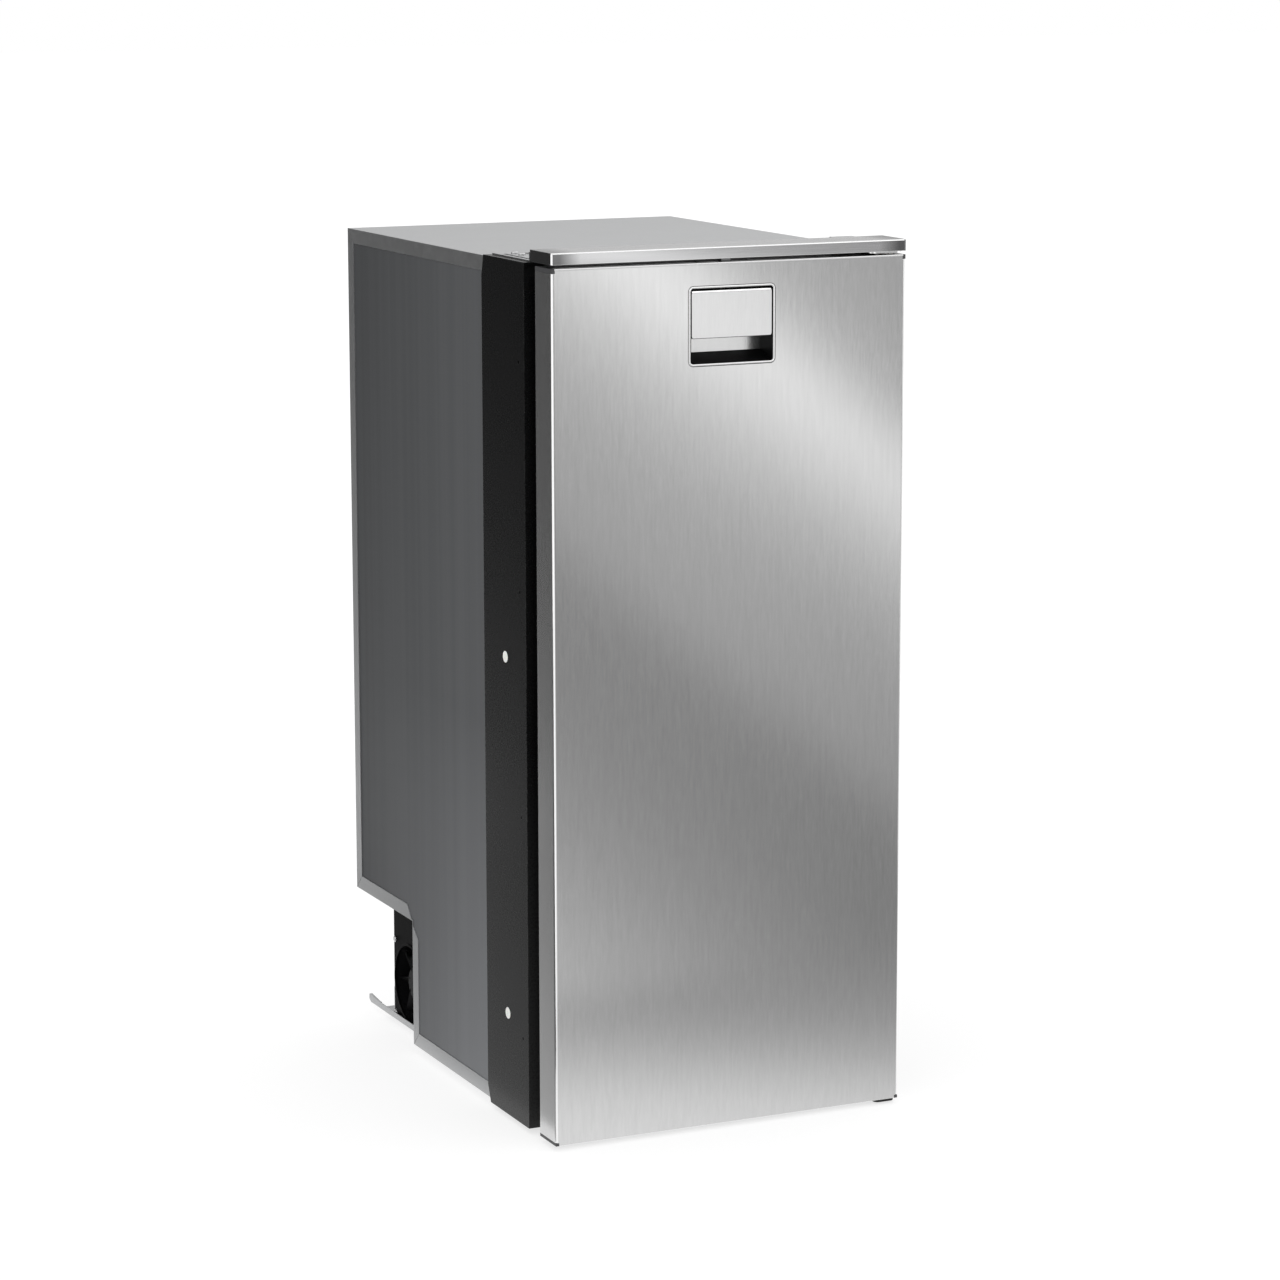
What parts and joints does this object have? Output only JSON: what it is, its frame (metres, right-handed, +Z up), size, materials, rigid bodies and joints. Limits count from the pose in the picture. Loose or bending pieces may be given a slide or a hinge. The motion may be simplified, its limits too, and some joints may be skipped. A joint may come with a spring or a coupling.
{
  "type": "undercounter refrigerator",
  "caption": "Slim built-in refrigerator with a right-hinged brushed steel door, recessed pull handle, black mounting collar and stepped rear machine bay with compressor and fan.",
  "frame": {"origin": "middle of the footprint, on the floor under the feet", "axes": "+Z up, the door faces -Y, +X to the right as seen from the front"},
  "size_m": [0.3838, 0.558, 0.881],
  "materials": {
    "door_steel": "vertical brushed grain, satin",
    "trim_steel": "horizontal brushed grain, satin",
    "handle_steel": "fine satin",
    "zinc_sheet": "galvanised sheet, satin",
    "panel_grey": "satin grey coating",
    "collar_black": "satin black powder coat",
    "compressor_black": "semi-gloss enamel",
    "foam": "rigid polyurethane foam",
    "liner_white": "vacuum-formed, semi-gloss",
    "white_plastic": "moulded, satin",
    "black_plastic": "moulded, fine grain",
    "cap_grey": "moulded, fine grain",
    "green_plastic": "moulded",
    "rubber_black": "soft matt",
    "clear_plastic": "clear moulded",
    "clear_glass": "clear",
    "aluminium": "mill finish",
    "copper": "drawn tube",
    "screw_steel": "bright zinc",
    "wire_white": "plastic-coated wire"
  },
  "bodies": {
    "cabinet": {"casing": "zinc_sheet", "side_panel_left": "panel_grey", "side_panel_right": "panel_grey", "front_collar": "collar_black", "cabinet_foam": "foam", "inner_liner": "liner_white", "top_trim": "trim_steel", "trim_brackets": "zinc_sheet", "strike_plate": "zinc_sheet", "collar_plugs": "white_plastic", "collar_screws": "screw_steel", "top_hinge_plate": "zinc_sheet", "bottom_hinge_plate": "collar_black", "hinge_pins": "screw_steel", "feet": "rubber_black", "base_tray": "zinc_sheet", "bay_screws": "screw_steel", "fan_shroud": "black_plastic", "fan_frame": "black_plastic", "fan_bracket": "zinc_sheet", "condenser": "aluminium", "compressor": "compressor_black", "compressor_mounts": "rubber_black", "compressor_bolts": "screw_steel", "discharge_line": "copper", "suction_line": "copper", "filter_drier": "copper", "capillary_tube": "copper", "suction_grommet": "rubber_black", "control_module": "black_plastic", "terminal_block": "green_plastic", "evaporator": "aluminium", "evaporator_posts": "white_plastic", "freezer_frame": "white_plastic", "control_housing": "white_plastic", "thermostat": "zinc_sheet", "lamp_lens": "clear_plastic", "lamp_board": "green_plastic", "wire_shelf_lower": "wire_white", "wire_shelf_middle": "wire_white", "wire_shelf_upper": "wire_white", "crisper_cover": "clear_glass"},
    "door": {"door_skin": "door_steel", "door_foam": "foam", "door_liner": "liner_white", "door_gasket": "rubber_black", "door_cap_top": "cap_grey", "door_cap_bottom": "cap_grey", "hinge_bushes": "white_plastic", "door_bins": "clear_plastic", "handle_housing": "black_plastic", "handle_backplate": "handle_steel", "handle_pin": "screw_steel"},
    "paddle": {"handle_paddle": "handle_steel"},
    "latch": {"latch_bolt": "zinc_sheet"},
    "fan": {"fan_rotor": "black_plastic"},
    "flap": {"freezer_flap": "clear_plastic"},
    "knob": {"thermostat_knob": "white_plastic"},
    "crisper": {"crisper_bin": "clear_plastic"},
    "tray": {"drip_tray": "white_plastic"}
  },
  "joints": [
    {"name": "door_hinge", "type": "hinge", "parent": "cabinet", "child": "door", "pos_m": [0.178, -0.261, 0.406], "axis": [0, 0, 1], "range_deg": [0, 110]},
    {"name": "paddle_pull", "type": "hinge", "parent": "door", "child": "paddle", "pos_m": [0, -0.2745, 0.837], "axis": [-1, 0, 0], "range_deg": [0, 20], "stiffness_Nm_per_rad": 0.5, "springref_deg": -8.59},
    {"name": "latch_slide", "type": "slide", "parent": "door", "child": "latch", "axis": [0, 0, -1], "range_m": [0, 0.005]},
    {"name": "fan_spin", "type": "hinge", "parent": "cabinet", "child": "fan", "pos_m": [-0.155, 0.164, 0.056], "axis": [1, 0, 0], "continuous": true},
    {"name": "flap_hinge", "type": "hinge", "parent": "cabinet", "child": "flap", "pos_m": [0, -0.039, 0.8], "axis": [-1, 0, 0], "range_deg": [0, 90]},
    {"name": "thermostat_turn", "type": "hinge", "parent": "cabinet", "child": "knob", "pos_m": [0.12, -0.016, 0.638], "axis": [-1, 0, 0], "range_deg": [0, 300]},
    {"name": "crisper_slide", "type": "slide", "parent": "cabinet", "child": "crisper", "axis": [0, -1, 0], "range_m": [0, 0.058]},
    {"name": "drip_tray_slide", "type": "slide", "parent": "cabinet", "child": "tray", "axis": [0, -1, 0], "range_m": [0, 0.112]}
  ],
  "couplings": [
    {"joint": "latch_slide", "follows": "paddle_pull", "m_per_rad": 0.01375}
  ]
}
